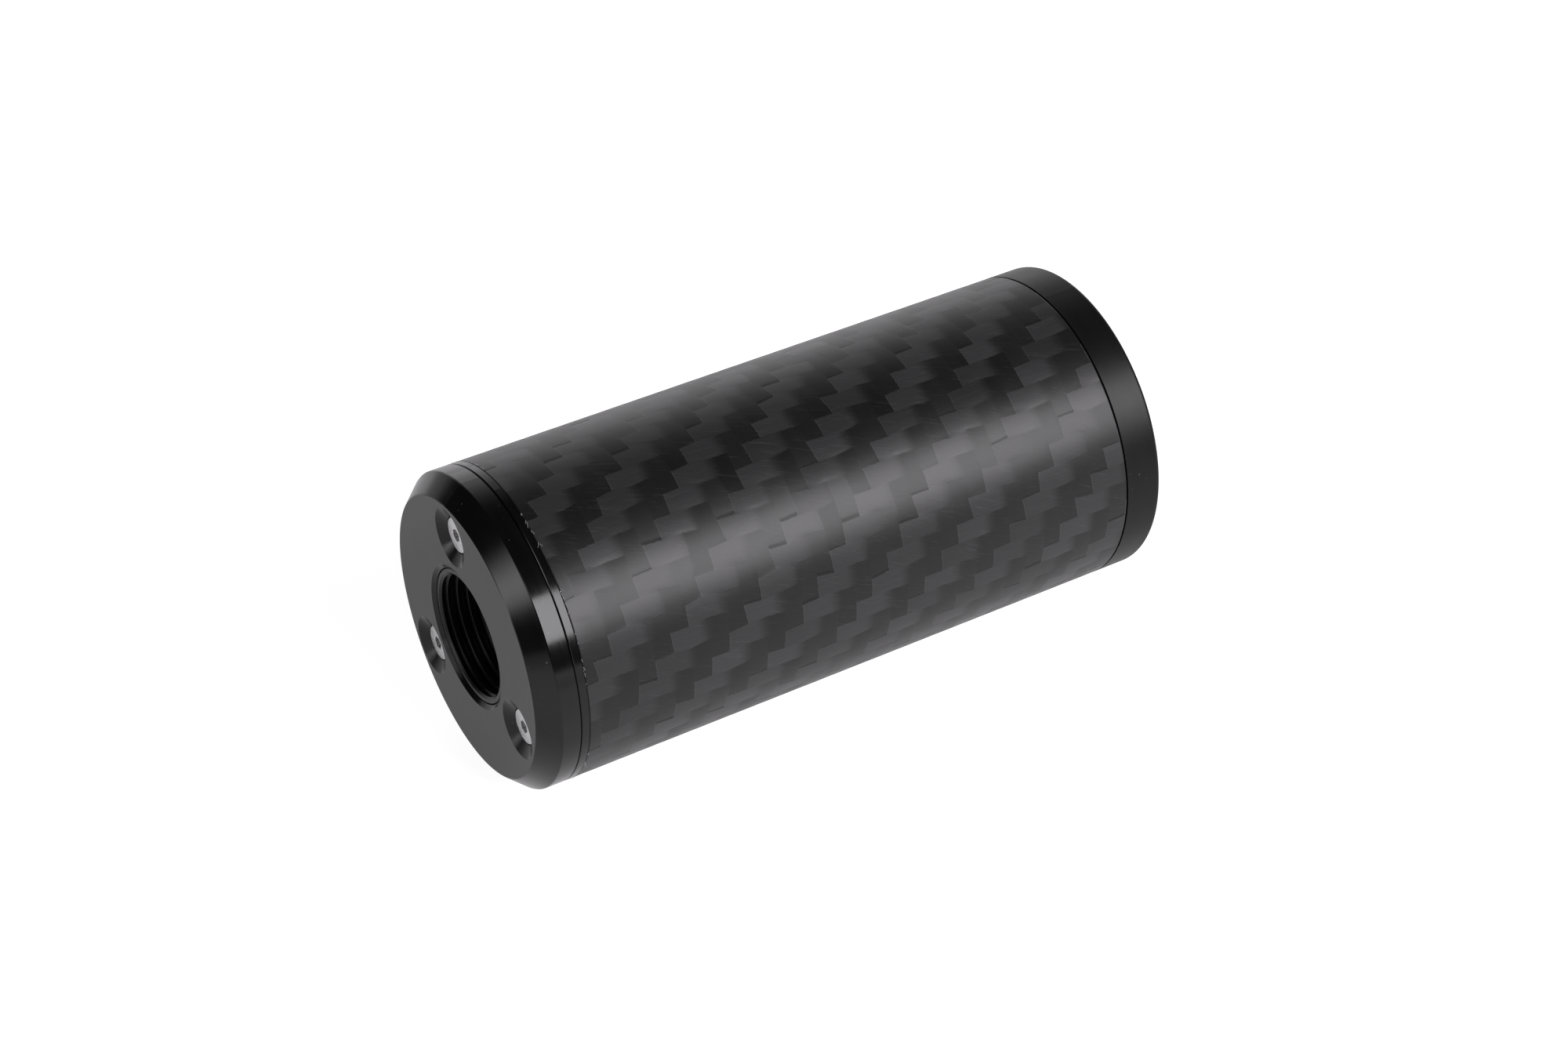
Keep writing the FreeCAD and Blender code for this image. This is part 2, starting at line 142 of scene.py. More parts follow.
# Looks of the tows. Pairs are the lowest and highest of a range. Dives, slots of painted shade and
# lines of painted highlight have their places along a repeat of the weave, which goes from 0 to 1;
# scratches run askew over the tows.
# The tows' dark tone with a painted sheen: axial floats are painted lighter than hoop floats, in place of
# how their fibres catch the light.
AXIAL_TONE_AND_SHEEN = 0.021
HOOP_TONE_AND_SHADE = 0.006
TOW_WARMTH = 1.03
TOW_VARIETY = (0.75, 1.25)
TOW_ROUGHNESS = (0.40, 0.46)
FLOAT_ROUGHNESS = (-0.03, 0.04)
HOOP_ROUGHNESS = 0.03
TOW_BUMP = 0.005 * MM
TOW_RAG = 0.03
FLOAT_LEAN = 0.03
STREAK_RANGE = (0.25, 0.75)
STREAKS_ALONG = 0.3
STREAKS_ACROSS = 18.0
DIVE_START = 0.37
DIVE_END = 0.57
DIVE_JITTER = 0.03
SCRATCH_ALONG_U = 0.45
SCRATCH_ALONG_V = 0.2
SCRATCH_ACROSS_U = 5.0
SCRATCH_ACROSS_V = 11.0
SCRATCH_RANGE = (0.58, 0.68)
SCRATCH_SHADE = 0.013
SCRATCH_ROUGHNESS = 0.05
# Painted shade, with rougher resin, where a hoop float dives under the next axial tow.
SLOT_CHANCE = 0.25
SLOT_START = 0.94
SLOT_SOFT = 0.022
SLOT_SHADE_DIM = 0.4
SLOT_ROUGHNESS = 0.22
# A painted highlight: a bright line in the colour at the front edge of each axial float.
HIGHLIGHT_LINE_FULL = 0.004
HIGHLIGHT_LINE_END = 0.012
HIGHLIGHT_LINE_LEVEL = 0.012

# Looks of the metal, the rubber and the plastic. Noise scales are in waves per metre.
NOISE_RANGE = (0.3, 0.7)
CAP_IOR = 1.4
TURNING_SCALE = 5200.0
BAND_SCALE = 900.0
CLOUD_SCALE = 160.0
SPECK_SCALE = 2600.0
SPECK_RANGE = (0.78, 0.82)
SPECK_SHADE = 0.25
MOTTLE_RANGE = (0.7, 1.3)
MOTTLE_DARK = 0.8
MOTTLE_PALE = 1.25
BLACK_WARMTH = 0.02
GLOSS_SPREAD = 0.03
BRUSHED_SCALE = 1500.0
MATT_SCALE = 900.0
PLASTIC_SCALE = 3000.0
FINE_BUMP = 0.01 * MM

# Loose fibre ends at the sleeve's front edge: thin three-sided hairs in short straight steps.
FIBRE_SEED = 11
FIBRE_COUNT = 96
FIBRE_RADIUS = 0.022 * MM
FIBRE_SIDES = 3
FIBRE_STEPS = 3
FIBRE_LENGTHS_MM = (0.15, 0.45)
LONG_FIBRE_CHANCE = 0.15
LONG_FIBRE_TIMES = 2.2
FIBRE_TURN = 0.6
FIBRE_STANDS = (0.2, 0.6)
FIBRE_CURL = 1.2
FIBRE_TAPER = 0.6
FIBRE_SETBACK_MM = 0.12
# In each quarter of the edge, away from the body's outermost lines.
FIBRE_ANGLES = (math.radians(13), math.radians(77))


def on_body(x, radius, angle):
    """The point that far along the axis, that far from it, at that angle from the top."""
    return (x, -radius * math.sin(angle), AXIS_Z + radius * math.cos(angle))


# ---------------------------------------------------------------- node helpers

def new_material(name):
    """A node material with a Principled shader, and short ways to add and join nodes."""
    material = bpy.data.materials.new(name)
    material.use_nodes = True
    return material, NodeTree(material.node_tree)


class NodeTree:
    """Adds nodes to a tree; numbers, tuples and sockets can all be a node's input."""

    def __init__(self, tree):
        self.tree = tree
        self.shader = tree.nodes.get("Principled BSDF")

    def put(self, socket, value):
        if isinstance(value, bpy.types.NodeSocket):
            self.tree.links.new(value, socket)
        else:
            socket.default_value = value

    def node(self, kind, inputs=(), **settings):
        made = self.tree.nodes.new(kind)
        for key, value in settings.items():
            setattr(made, key, value)
        for key, value in dict(inputs).items():
            self.put(made.inputs[key], value)
        return made

    def math(self, operation, a, b=0.0):
        return self.node("ShaderNodeMath", {0: a, 1: b}, operation=operation).outputs[0]

    def vector(self, operation, a, b):
        return self.node("ShaderNodeVectorMath", {0: a, 1: b}, operation=operation).outputs[0]

    def combine(self, x, y, z):
        return self.node("ShaderNodeCombineXYZ", {0: x, 1: y, 2: z}).outputs[0]

    def separate(self, vector):
        return self.node("ShaderNodeSeparateXYZ", {0: vector}).outputs

    def remap(self, value, from_low, from_high, to_low, to_high, smooth=False):
        kind = "SMOOTHSTEP" if smooth else "LINEAR"
        ends = {"Value": value, "From Min": from_low, "From Max": from_high,
                "To Min": to_low, "To Max": to_high}
        return self.node("ShaderNodeMapRange", ends, interpolation_type=kind).outputs["Result"]

    def spread(self, noise, low, high):
        """A noise whose usual values go from low to high."""
        return self.remap(noise, *NOISE_RANGE, low, high)

    def noise(self, vector, scale, detail=2.0, roughness=0.5):
        ends = {"Vector": vector, "Scale": scale, "Detail": detail, "Roughness": roughness}
        return self.node("ShaderNodeTexNoise", ends).outputs["Fac"]

    def choose(self, factor, a, b):
        """The number a where factor is 0, and b where it is 1."""
        return self.node("ShaderNodeMix", {0: factor, 2: a, 3: b}).outputs[0]

    def mix_colour(self, factor, a, b):
        made = self.node("ShaderNodeMix", data_type="RGBA")
        self.put(made.inputs[0], factor)
        self.put(made.inputs[6], a)
        self.put(made.inputs[7], b)
        return made.outputs[2]

    def mix_vector(self, factor, a, b):
        made = self.node("ShaderNodeMix", data_type="VECTOR")
        self.put(made.inputs[0], factor)
        self.put(made.inputs[4], a)
        self.put(made.inputs[5], b)
        return made.outputs[1]

    def bump(self, height, distance, under=None):
        """A bump; under is the normal that it is laid on."""
        ends = {"Height": height, "Distance": distance}
        if under is not None:
            ends["Normal"] = under
        return self.node("ShaderNodeBump", ends).outputs["Normal"]

    def set(self, **inputs):
        """Set the shader's inputs; a name's underscores stand for spaces."""
        for key, value in inputs.items():
            self.put(self.shader.inputs[key.replace("_", " ")], value)


def grey(value, warmth=0.0):
    """A grey as a colour, with a little more red and some more blue where warmth is over 0."""
    return (value * (1 + warmth), value, value * (1 + warmth * 0.6), 1.0)


def radial_place(tree):
    """Along the axis, and the distance from it, in metres."""
    x, y, z = tree.separate(tree.node("ShaderNodeTexCoord").outputs["Object"])
    height = tree.math("SUBTRACT", z, AXIS_Z)
    squares = tree.math("ADD", tree.math("MULTIPLY", y, y), tree.math("MULTIPLY", height, height))
    return x, tree.math("SQRT", squares)


# ---------------------------------------------------------------- materials

def anodised(name, shade, roughness, grain, specks, level=0.5):
    """Black anodised aluminium with fine turning lines round the axis."""
    material, tree = new_material(name)
    along, radius = radial_place(tree)
    profile = tree.combine(along, radius, 0.0)
    lines = tree.noise(profile, TURNING_SCALE, detail=3.0, roughness=0.7)
    bands = tree.noise(profile, BAND_SCALE)
    place = tree.node("ShaderNodeTexCoord").outputs["Object"]
    cloud = tree.noise(place, CLOUD_SCALE, detail=4.0, roughness=0.6)
    dust = tree.noise(place, SPECK_SCALE, detail=1.0)
    speck = tree.remap(dust, *SPECK_RANGE, 0.0, specks)
    tone = tree.remap(tree.math("ADD", cloud, bands), *MOTTLE_RANGE, 0.0, 1.0)
    dark = grey(shade * MOTTLE_DARK, BLACK_WARMTH)
    pale = grey(shade * MOTTLE_PALE, BLACK_WARMTH)
    colour = tree.mix_colour(tone, dark, pale)
    colour = tree.mix_colour(speck, colour, grey(SPECK_SHADE))
    gloss = tree.math("ADD", tree.spread(cloud, -GLOSS_SPREAD, GLOSS_SPREAD), roughness)
    gloss = tree.math("ADD", tree.spread(lines, -GLOSS_SPREAD, GLOSS_SPREAD), gloss)
    turned = tree.bump(lines, grain, under=tree.bump(bands, grain * 2))
    tree.set(Base_Color=colour, Roughness=gloss, Normal=turned)
    tree.set(IOR=CAP_IOR, Specular_IOR_Level=level)
    return material


def front_material():
    """Glossy black, on the front cap and the tube's flange."""
    return anodised("front_anodised_gloss", shade=0.003, roughness=0.14, grain=0.002 * MM, specks=0.3)


def bush_material():
    """The same black, duller inside the socket."""
    return anodised("bush_anodised_dull", shade=0.003, roughness=0.26, grain=0.002 * MM, specks=0.1,
                    level=0.42)


def rear_material():
    """Satin black, on the rear cap."""
    return anodised("rear_anodised_satin", shade=0.003, roughness=0.38, grain=0.003 * MM, specks=0.2,
                    level=0.31)


def weave_material():
    """Two by two twill of carbon tows in satin resin; fibres shine across their own direction."""
    material, tree = new_material("carbon_twill")
    u, v, unused = tree.separate(tree.node("ShaderNodeUVMap", uv_map="weave").outputs["UV"])
    slow_u = tree.math("MULTIPLY", u, STREAKS_ALONG)
    fast_u = tree.math("MULTIPLY", u, STREAKS_ACROSS)
    slow_v = tree.math("MULTIPLY", v, STREAKS_ALONG)
    fast_v = tree.math("MULTIPLY", v, STREAKS_ACROSS)

    # The tows' edges are a little ragged. Each noise's third coordinate only makes it another one.
    rag_u = tree.noise(tree.combine(slow_u, fast_v, 1.0), 1.0, detail=3.0)
    rag_v = tree.noise(tree.combine(fast_u, slow_v, 5.0), 1.0, detail=3.0)
    u = tree.math("ADD", u, tree.spread(rag_u, -TOW_RAG, TOW_RAG))
    v = tree.math("ADD", v, tree.spread(rag_v, -TOW_RAG, TOW_RAG))
    column = tree.math("FLOOR", u)
    row = tree.math("FLOOR", v)

    # From 0 to 1 along the repeat of a row: first the float of the axial tow, then two hoop tows.
    row_repeats = tree.math("DIVIDE", tree.math("ADD", u, row), REPEAT_CELLS)
    row_phase = tree.math("FRACT", row_repeats)
    hoop = tree.math("GREATER_THAN", row_phase, 0.5)
    # The same along a column: first the axial tows, then the float of the hoop tow.
    column_repeats = tree.math("DIVIDE", tree.math("ADD", v, column), REPEAT_CELLS)
    column_phase = tree.math("FRACT", column_repeats)

    # Random numbers of its own for each float.
    axial_float = tree.combine(tree.math("FLOOR", row_repeats), row, 0.0)
    hoop_float = tree.combine(tree.math("FLOOR", column_repeats), column, 7.0)
    which_float = tree.mix_vector(hoop, axial_float, hoop_float)
    draw = tree.node("ShaderNodeTexWhiteNoise", {"Vector": which_float})
    chance = draw.outputs["Value"]
    lean, gloss, unused = tree.separate(draw.outputs["Color"])

    # How far an axial tow has dived under the next hoop tow: 0 on its float, 1 on the hoop tow's.
    dive = tree.math("ADD", row_phase, tree.remap(chance, 0.0, 1.0, -DIVE_JITTER, DIVE_JITTER))
    sunk = tree.remap(dive, DIVE_START, DIVE_END, 0.0, 1.0, smooth=True)

    # Fibres: streaks along each tow, other ones in each tow, and faint scratches that cross them.
    axial_streaks = tree.noise(tree.combine(slow_u, fast_v, row), 1.0, detail=4.0, roughness=0.7)
    hoop_streaks = tree.noise(tree.combine(fast_u, slow_v, column), 1.0, detail=4.0, roughness=0.7)
    streaks = tree.choose(hoop, axial_streaks, hoop_streaks)
    with_scratch = tree.math("ADD", tree.math("MULTIPLY", u, SCRATCH_ALONG_U),
                             tree.math("MULTIPLY", v, SCRATCH_ALONG_V))
    over_scratch = tree.math("SUBTRACT", tree.math("MULTIPLY", v, SCRATCH_ACROSS_V),
                             tree.math("MULTIPLY", u, SCRATCH_ACROSS_U))
    scratches = tree.noise(tree.combine(with_scratch, over_scratch, 3.0), 1.0, detail=3.0, roughness=0.7)
    scratch = tree.remap(scratches, *SCRATCH_RANGE, 0.0, 1.0)

    # Painted shade where a hoop float dives under the next axial tow, on most floats: the colour is darker
    # there and the resin rougher.
    slot_start = tree.remap(chance, SLOT_CHANCE, 1.0, 1.0, SLOT_START)
    slot_full = tree.math("ADD", slot_start, SLOT_SOFT)
    shaded_slot = tree.remap(column_phase, slot_start, slot_full, 0.0, 1.0, smooth=True)
    shaded_slot = tree.math("MULTIPLY", shaded_slot, hoop)
    # A painted highlight: a bright line in the colour at the front edge of each axial float.
    highlight_line = tree.remap(row_phase, HIGHLIGHT_LINE_FULL, HIGHLIGHT_LINE_END, 1.0, 0.0)

    # Each tow's fibres lie along it, and their gloss spreads across them. Each float leans a little.
    round_body = tree.node("ShaderNodeTangent", direction_type="RADIAL", axis="X").outputs[0]
    normal = tree.node("ShaderNodeNewGeometry").outputs["Normal"]
    along_body = tree.vector("CROSS_PRODUCT", normal, round_body)
    spread = tree.mix_vector(sunk, round_body, along_body)
    lean = tree.remap(lean, 0.0, 1.0, -FLOAT_LEAN, FLOAT_LEAN)
    leaning = tree.vector("MULTIPLY", round_body, tree.combine(lean, lean, lean))
    leaning = tree.vector("NORMALIZE", tree.vector("ADD", normal, leaning), (0.0, 0.0, 0.0))

    brightness = tree.remap(chance, 0.0, 1.0, *TOW_VARIETY)
    tone = tree.math("MULTIPLY", tree.remap(streaks, *STREAK_RANGE, *TOW_VARIETY), brightness)
    # Painted sheen and shade on the tows' dark tone: axial floats are lighter, and darken as they dive
    # under a hoop tow where their fibres turn from the light.
    level = tree.math("MULTIPLY", tree.remap(sunk, 0.0, 1.0, AXIAL_TONE_AND_SHEEN, HOOP_TONE_AND_SHADE), tone)
    # Adds the painted highlight line.
    level = tree.math("ADD", level, tree.math("MULTIPLY", highlight_line, HIGHLIGHT_LINE_LEVEL))
    level = tree.math("ADD", level, tree.math("MULTIPLY", scratch, SCRATCH_SHADE))
    # Darkens the colour with the painted shade in the slots.
    level = tree.math("MULTIPLY", level, tree.remap(shaded_slot, 0.0, 1.0, 1.0, SLOT_SHADE_DIM))
    warm = tree.math("MULTIPLY", level, TOW_WARMTH)
    colour = tree.combine(warm, level, warm)
    roughness = tree.spread(streaks, *TOW_ROUGHNESS)
    roughness = tree.math("ADD", roughness, tree.remap(gloss, 0.0, 1.0, *FLOAT_ROUGHNESS))
    roughness = tree.math("ADD", roughness, tree.math("MULTIPLY", scratch, SCRATCH_ROUGHNESS))
    roughness = tree.math("ADD", roughness, tree.math("MULTIPLY", shaded_slot, SLOT_ROUGHNESS))
    roughness = tree.math("ADD", roughness, tree.math("MULTIPLY", hoop, HOOP_ROUGHNESS))
    tree.set(Base_Color=colour, Roughness=roughness, Tangent=spread)
    tree.set(Normal=tree.bump(streaks, TOW_BUMP, under=leaning))
    tree.set(IOR=1.5, Specular_IOR_Level=0.22, Anisotropic=0.12)
    tree.set(Coat_Weight=0.40, Coat_Roughness=0.32, Coat_IOR=1.4)
    return material


def fibre_material():
    """Pale loose fibre ends."""
    material, tree = new_material("loose_fibre")
    place = tree.node("ShaderNodeTexCoord").outputs["Object"]
    cloud = tree.noise(place, MATT_SCALE)
    tree.set(Base_Color=tree.mix_colour(cloud, grey(0.2), grey(0.8)))
    tree.set(Roughness=tree.spread(cloud, 0.3, 0.5))
    return material


def steel_material():
    """Bright steel screw heads, faintly brushed."""
    material, tree = new_material("screw_steel_bright")
    place = tree.node("ShaderNodeTexCoord").outputs["Object"]
    cloud = tree.noise(place, BRUSHED_SCALE, detail=4.0, roughness=0.6)
    colour = tree.mix_colour(cloud, grey(0.66), grey(0.90))
    tree.set(Base_Color=colour, Roughness=tree.spread(cloud, 0.20, 0.34), Metallic=1.0)
    tree.set(Normal=tree.bump(cloud, FINE_BUMP))
    return material


def rubber_material():
    """Dull black rubber."""
    material, tree = new_material("seal_rubber_dull")
    place = tree.node("ShaderNodeTexCoord").outputs["Object"]
    cloud = tree.noise(place, MATT_SCALE, detail=4.0)
    tree.set(Base_Color=tree.mix_colour(cloud, grey(0.012), grey(0.03)))
    tree.set(Roughness=tree.spread(cloud, 0.5, 0.7), Normal=tree.bump(cloud, FINE_BUMP))
    return material


def plastic_material():
    """Off-white plastic bar with faint turning lines."""
    material, tree = new_material("core_plastic_turned")
    along, radius = radial_place(tree)
    lines = tree.noise(tree.combine(along, radius, 0.0), PLASTIC_SCALE, detail=3.0)
    tree.set(Base_Color=tree.mix_colour(lines, (0.60, 0.58, 0.52, 1.0), (0.72, 0.70, 0.64, 1.0)))
    tree.set(Roughness=tree.spread(lines, 0.4, 0.55), Normal=tree.bump(lines, FINE_BUMP))
    return material


def paint(node, material):
    """Give a CAD node its material, in the object's own slots."""
    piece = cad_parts[node]
    for shaded_slot in piece.material_slots:
        shaded_slot.material = material


# ---------------------------------------------------------------- woven sleeve

def wander(rng, count):
    """A smooth random line of values about 0, one per grid corner, that ends where it starts."""
    waves = []
    for turns in range(1, WANDER_WAVES + 1):
        waves.append((turns, rng.uniform(-1, 1) / turns ** 0.5, rng.uniform(0, 2 * math.pi)))
    line = []
    for index in range(count + 1):
        turn = 2 * math.pi * index / count
        total = sum(size * math.sin(turns * turn + phase) for turns, size, phase in waves)
        line.append(total / WANDER_PEAK)
    return line


def rise(along):
    """Height along a float, 0 where the tow comes up or dives under and 1 in between."""
    near = min(along, FLOAT_CELLS - along)
    if near >= RISE_CELLS:
        return 1.0
    return 1.0 - (1.0 - near / RISE_CELLS) ** 2


def tow_height(column, row, part_u, part_v):
    """Height of the weave's surface, 0 at its highest, at a point inside one cell."""
    step = (column + row) % REPEAT_CELLS
    if step < FLOAT_CELLS:
        along = step + part_u
        across = part_v
    else:
        along = step - FLOAT_CELLS + part_v
        across = part_u
    crown = (2 * across - 1) ** 2
    return -TOW_CROWN * crown - TOW_RISE * (1 - rise(along))


def blend_corners(table, column, row, part_u, part_v):
    """A value between the four corners of a cell; the rows close on themselves."""
    here = table[column][row] * (1 - part_v) + table[column][row + 1] * part_v
    there = table[column + 1][row] * (1 - part_v) + table[column + 1][row + 1] * part_v
    return here * (1 - part_u) + there * part_u


def corner_shifts(rng, columns):
    """How far each corner of the tow grid is off its place, in cells: a wander and a jitter."""
    table = []
    for column in range(columns + 2):
        line = wander(rng, ROWS)
        shifts = [TOW_WANDER * value + rng.uniform(-TOW_JITTER, TOW_JITTER) for value in line]
        shifts[ROWS] = shifts[0]
        table.append(shifts)
    return table


def woven_rings():
    """Rings of the sleeve's outside from front to rear: nominal place in cells, x and points."""
    rng = random.Random(WEAVE_SEED)
    low_u = (sleeve_low.x + SLEEVE_EDGE - WEAVE_START_X) / CELL
    high_u = (sleeve_high.x - SLEEVE_EDGE - WEAVE_START_X) / CELL
    first = math.floor(low_u)
    last = math.ceil(high_u)
    along_shifts = corner_shifts(rng, last - first)
    round_shifts = corner_shifts(rng, last - first)

    # Two rings close together keep each end's edge crisp.
    stations = [low_u, low_u + EDGE_CRISP_CELLS]
    for column in range(first, last):
        for stop in CELL_STOPS:
            if low_u + END_MARGIN_CELLS < column + stop < high_u - END_MARGIN_CELLS:
                stations.append(column + stop)
    stations += [high_u - EDGE_CRISP_CELLS, high_u]

    rings = []
    for u in stations:
        at_end = u <= low_u + EDGE_CRISP_CELLS or u >= high_u - EDGE_CRISP_CELLS
        column = math.floor(u)
        part_u = u - column
        points = []
        for row in range(ROWS):
            for part_v in CELL_STOPS:
                cell = (column - first, row, part_u, part_v)
                along = 0.0 if at_end else blend_corners(along_shifts, *cell)
                angle = WEAVE_START_ANGLE + (row + part_v + blend_corners(round_shifts, *cell)) * ROW_ANGLE
                radius = BODY_RADIUS + tow_height(column, row, part_u, part_v)
                points.append(on_body(WEAVE_START_X + (u + along) * CELL, radius, angle))
        rings.append((u, points))
    return rings


def plain_ring(x, radius):
    """A ring of points level with the woven rings' ones, and its place in cells."""
    points = []
    for row in range(ROWS):
        for part_v in CELL_STOPS:
            points.append(on_body(x, radius, WEAVE_START_ANGLE + (row + part_v) * ROW_ANGLE))
    return (x - WEAVE_START_X) / CELL, points


def make_sleeve():
    """The woven sleeve: every tow has its own crown and dives under the tows that cross it."""
    start, end = sleeve_low.x, sleeve_high.x
    broken = BODY_RADIUS - SLEEVE_EDGE
    inner = BODY_RADIUS - SLEEVE_WALL
    rings = [plain_ring(start, inner), plain_ring(start, broken)]
    rings += woven_rings()
    rings += [plain_ring(end, broken), plain_ring(end, inner)]

    count = ROWS * len(CELL_STOPS)
    spokes = [row + part_v for row in range(ROWS) for part_v in CELL_STOPS] + [ROWS]
    vertices = [point for u, points in rings for point in points]
    faces = []
    places = []
    for index in range(len(rings)):
        following = (index + 1) % len(rings)
        u, next_u = rings[index][0], rings[following][0]
        for spoke in range(count):
            beside = (spoke + 1) % count
            v, next_v = spokes[spoke], spokes[spoke + 1]
            faces.append((index * count + spoke, following * count + spoke,
                          following * count + beside, index * count + beside))
            places += [u, v, next_u, v, next_u, next_v, u, next_v]

    mesh = bpy.data.meshes.new("woven_sleeve")
    mesh.from_pydata(vertices, [], faces)
    mesh.uv_layers.new(name="weave").data.foreach_set("uv", places)
    mesh.shade_smooth()
    mesh.materials.append(weave_material())
    piece = bpy.data.objects.new("woven_sleeve", mesh)
    bpy.context.scene.collection.objects.link(piece)
    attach(piece, "shell")
    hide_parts("carbon_sleeve")


def make_fibre_ends():
    """Loose ends of cut fibres that stand out a little at the sleeve's front edge."""
    rng = random.Random(FIBRE_SEED)
    vertices = []
    faces = []
    for unused in range(FIBRE_COUNT):
        angle = rng.randrange(4) * math.pi / 2 + rng.uniform(*FIBRE_ANGLES)
        turn = rng.uniform(-FIBRE_TURN, FIBRE_TURN)
        length = rng.uniform(*FIBRE_LENGTHS_MM) * MM
        if rng.random() < LONG_FIBRE_CHANCE:
            length *= LONG_FIBRE_TIMES
        stand = rng.uniform(*FIBRE_STANDS)
        start = sleeve_low.x + rng.uniform(0.0, FIBRE_SETBACK_MM) * MM
        first = len(vertices)
        for step in range(FIBRE_STEPS + 1):
            part = step / FIBRE_STEPS
            x = start + part * length * math.sin(turn)
            round_by = part * length * math.cos(turn) / BODY_RADIUS
            lift = part * stand * length * (FIBRE_CURL - part) - FIBRE_RADIUS / 2
            thin = FIBRE_RADIUS * (1 - FIBRE_TAPER * part)
            vertices.append(on_body(x, BODY_RADIUS + lift + thin, angle + round_by))
            vertices.append(on_body(x - thin, BODY_RADIUS + lift - thin / 2, angle + round_by))
            vertices.append(on_body(x + thin, BODY_RADIUS + lift - thin / 2, angle + round_by))
        for step in range(FIBRE_STEPS):
            for side in range(FIBRE_SIDES):
                here = first + step * FIBRE_SIDES + side
                beside = first + step * FIBRE_SIDES + (side + 1) % FIBRE_SIDES
                faces.append((here, beside, beside + FIBRE_SIDES, here + FIBRE_SIDES))
        tip = first + FIBRE_STEPS * FIBRE_SIDES
        faces.append((first + 2, first + 1, first))
        faces.append((tip, tip + 1, tip + 2))
    mesh = bpy.data.meshes.new("fibre_ends")
    mesh.from_pydata(vertices, [], faces)
    mesh.materials.append(fibre_material())
    piece = bpy.data.objects.new("fibre_ends", mesh)
    bpy.context.scene.collection.objects.link(piece)
    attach(piece, "shell")


# ---------------------------------------------------------------- studio

def make_camera():
    """The camera at the photograph's viewing angle."""
    data = bpy.data.cameras.new("camera")
    data.lens = CAMERA_LENS
    data.clip_start = CAMERA_CLIP_START
    camera = bpy.data.objects.new("camera", data)
    bpy.context.scene.collection.objects.link(camera)
    away = Vector((math.sin(CAMERA_AZIMUTH), -math.cos(CAMERA_AZIMUTH), 0)) * math.cos(CAMERA_ELEVATION)
    away.z = math.sin(CAMERA_ELEVATION)
    camera.location = AIM + away * CAMERA_DISTANCE
    camera.rotation_euler = (-away).to_track_quat("-Z", "Y").to_euler()
    bpy.context.scene.camera = camera


def make_floor():
    """A wide pale table that glows a little; the camera sees an even glow and faint shadows."""
    mesh = bpy.data.meshes.new("floor")
    corners = [(-TABLE_SIZE, -TABLE_SIZE, 0), (TABLE_SIZE, -TABLE_SIZE, 0),
               (TABLE_SIZE, TABLE_SIZE, 0), (-TABLE_SIZE, TABLE_SIZE, 0)]
    mesh.from_pydata(corners, [], [(0, 1, 2, 3)])
    floor = bpy.data.objects.new("floor", mesh)
    bpy.context.scene.collection.objects.link(floor)
    material, tree = new_material("pale_table")
    x, y, z = tree.separate(tree.node("ShaderNodeTexCoord").outputs["Object"])
    glow = tree.remap(y, TABLE_NEAR_Y, TABLE_FAR_Y, TABLE_GLOW_NEAR, TABLE_GLOW_FAR, smooth=True)
    # It glows more just in front of the object, and less further out.
    front = tree.remap(y, TABLE_FRONT_RISE_Y, TABLE_FRONT_FULL_Y, 1.0, TABLE_FRONT_GAIN, smooth=True)
    outer = tree.remap(y, TABLE_OUTER_Y, TABLE_OUTER_FULL_Y, 1.0, TABLE_OUTER_DIM, smooth=True)
    glow = tree.math("MULTIPLY", glow, tree.math("MULTIPLY", front, outer))
    # The far corner beyond the front face is dimmer.
    beyond_x = TABLE_CORNER_X - TABLE_CORNER_WIDTH
    beyond_y = TABLE_CORNER_Y + TABLE_CORNER_WIDTH
    corner = tree.math("MULTIPLY", tree.remap(x, TABLE_CORNER_X, beyond_x, 0.0, 1.0, smooth=True),
                       tree.remap(y, TABLE_CORNER_Y, beyond_y, 0.0, TABLE_CORNER_DIM, smooth=True))
    glow = tree.math("MULTIPLY", glow, tree.math("SUBTRACT", 1.0, corner))
    seen = tree.node("ShaderNodeLightPath").outputs["Is Camera Ray"]
    tree.set(Base_Color=grey(TABLE_SHADE), Roughness=TABLE_ROUGHNESS, IOR=TABLE_IOR)
    tree.set(Emission_Color=tree.mix_colour(seen, LIGHT_TINT, grey(1.0)),
             Emission_Strength=tree.choose(seen, glow, TABLE_GLOW_SEEN))
    mesh.materials.append(material)


def make_softbox():
    """A long rectangular soft light that faces the object from the camera's side."""
    level = math.cos(SOFTBOX_TURN)
    away = Vector((math.sin(SOFTBOX_TURN), -math.sin(SOFTBOX_ANGLE) * level,
                   math.cos(SOFTBOX_ANGLE) * level))
    data = bpy.data.lights.new("softbox", "AREA")
    data.shape = "RECTANGLE"
    data.size = SOFTBOX_LENGTH
    data.size_y = SOFTBOX_WIDTH
    data.energy = SOFTBOX_RADIANCE * math.pi * SOFTBOX_LENGTH * SOFTBOX_WIDTH
    data.color = LIGHT_TINT[:3]
    light = bpy.data.objects.new("softbox", data)
    bpy.context.scene.collection.objects.link(light)
    light.location = CENTRE + away * SOFTBOX_DISTANCE
    light.rotation_euler = away.to_track_quat("Z", "Y").to_euler()


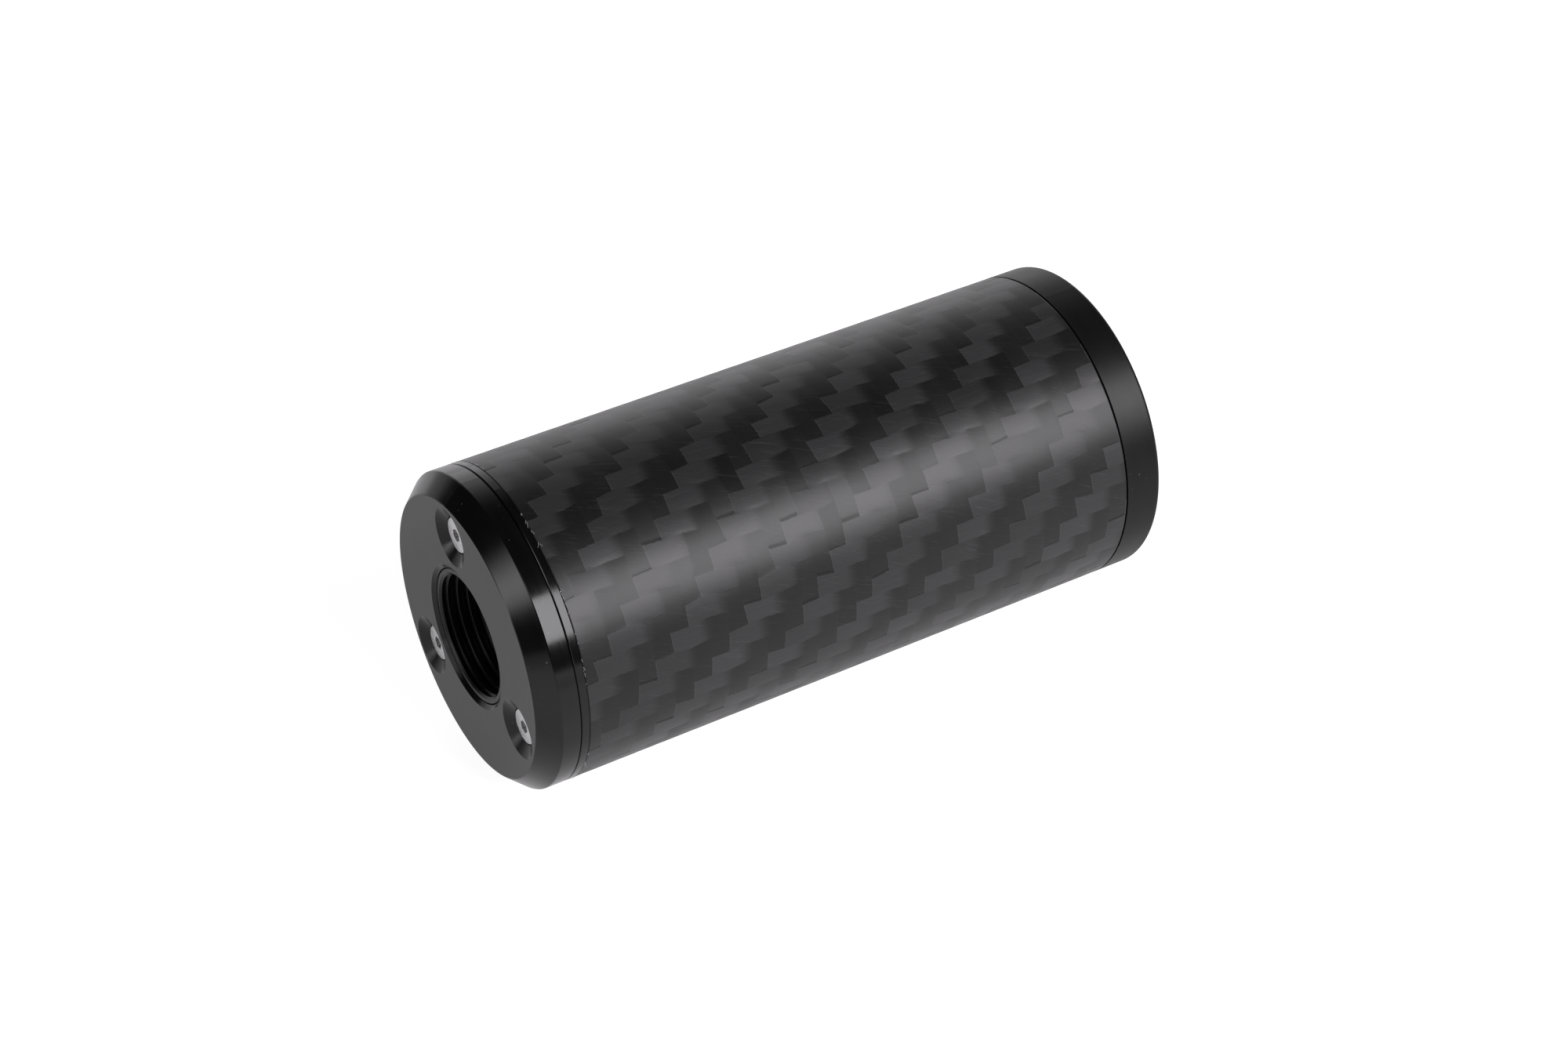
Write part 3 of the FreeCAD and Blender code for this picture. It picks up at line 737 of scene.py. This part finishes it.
def make_world():
    """A dark studio with the backdrop and the tall strip; the camera itself sees white."""
    world = bpy.data.worlds.new("studio")
    bpy.context.scene.world = world
    world.use_nodes = True
    tree = NodeTree(world.node_tree)
    direction = tree.node("ShaderNodeTexCoord").outputs["Generated"]
    x, y, z = tree.separate(direction)
    facing = tree.node("ShaderNodeVectorMath", {0: direction, 1: BACKDROP_SIDE}, operation="DOT_PRODUCT")
    behind = tree.remap(facing.outputs["Value"], BACKDROP_START, BACKDROP_FULL, 0.0, BACKDROP_LEVEL,
                        smooth=True)
    fading = tree.remap(z, BACKDROP_FADE, BACKDROP_TOP, 1.0, BACKDROP_TOP_PART)
    behind = tree.math("MULTIPLY", behind, fading)

    # The strip is brightest along its leaning middle line, and fades to both sides and upwards.
    off_middle = tree.math("SUBTRACT", y, STRIP_SIDE)
    off_middle = tree.math("ADD", off_middle, tree.math("MULTIPLY", z, STRIP_LEAN))
    off_middle = tree.math("ABSOLUTE", off_middle)
    strip = tree.remap(off_middle, 0.0, STRIP_SOFT_WIDTH, STRIP_RADIANCE, 0.0, smooth=True)
    strip = tree.math("MULTIPLY", strip, tree.math("LESS_THAN", x, 0.0))
    strip = tree.math("MULTIPLY", strip, tree.remap(z, STRIP_FADE, STRIP_TOP, 1.0, 0.0, smooth=True))
    # It is dimmer a little above the horizon, between its foot and its upper part.
    off_gap = tree.math("ABSOLUTE", tree.math("SUBTRACT", z, STRIP_GAP_HEIGHT))
    gap = tree.remap(off_gap, STRIP_GAP_INNER, STRIP_GAP_OUTER, STRIP_GAP_LEVEL, 1.0, smooth=True)
    strip = tree.math("MULTIPLY", strip, gap)

    level = tree.math("ADD", tree.math("ADD", behind, strip), STUDIO_LEVEL)
    seen = tree.node("ShaderNodeLightPath").outputs["Is Camera Ray"]
    background = world.node_tree.nodes["Background"]
    tree.put(background.inputs["Color"], tree.mix_colour(seen, LIGHT_TINT, grey(1.0)))
    tree.put(background.inputs["Strength"], tree.choose(seen, level, 1.0))


def paint_nodes():
    """Give every CAD node that stays its material."""
    front = front_material()
    paint("front_cap", front)
    paint("flanged_tube", front)
    paint("socket_bush", bush_material())
    paint("rear_cap", rear_material())
    steel = steel_material()
    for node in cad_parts:
        if node.startswith("cap_screw"):
            paint(node, steel)
    rubber = rubber_material()
    paint("front_o_ring", rubber)
    paint("rear_o_ring", rubber)
    paint("solid_core", plastic_material())


def main():
    """Build the pieces, paint the CAD nodes and light the studio."""
    make_camera()
    make_sleeve()
    make_fibre_ends()
    paint_nodes()
    make_floor()
    make_softbox()
    make_world()
    bpy.context.scene.view_settings.view_transform = "Standard"


main()
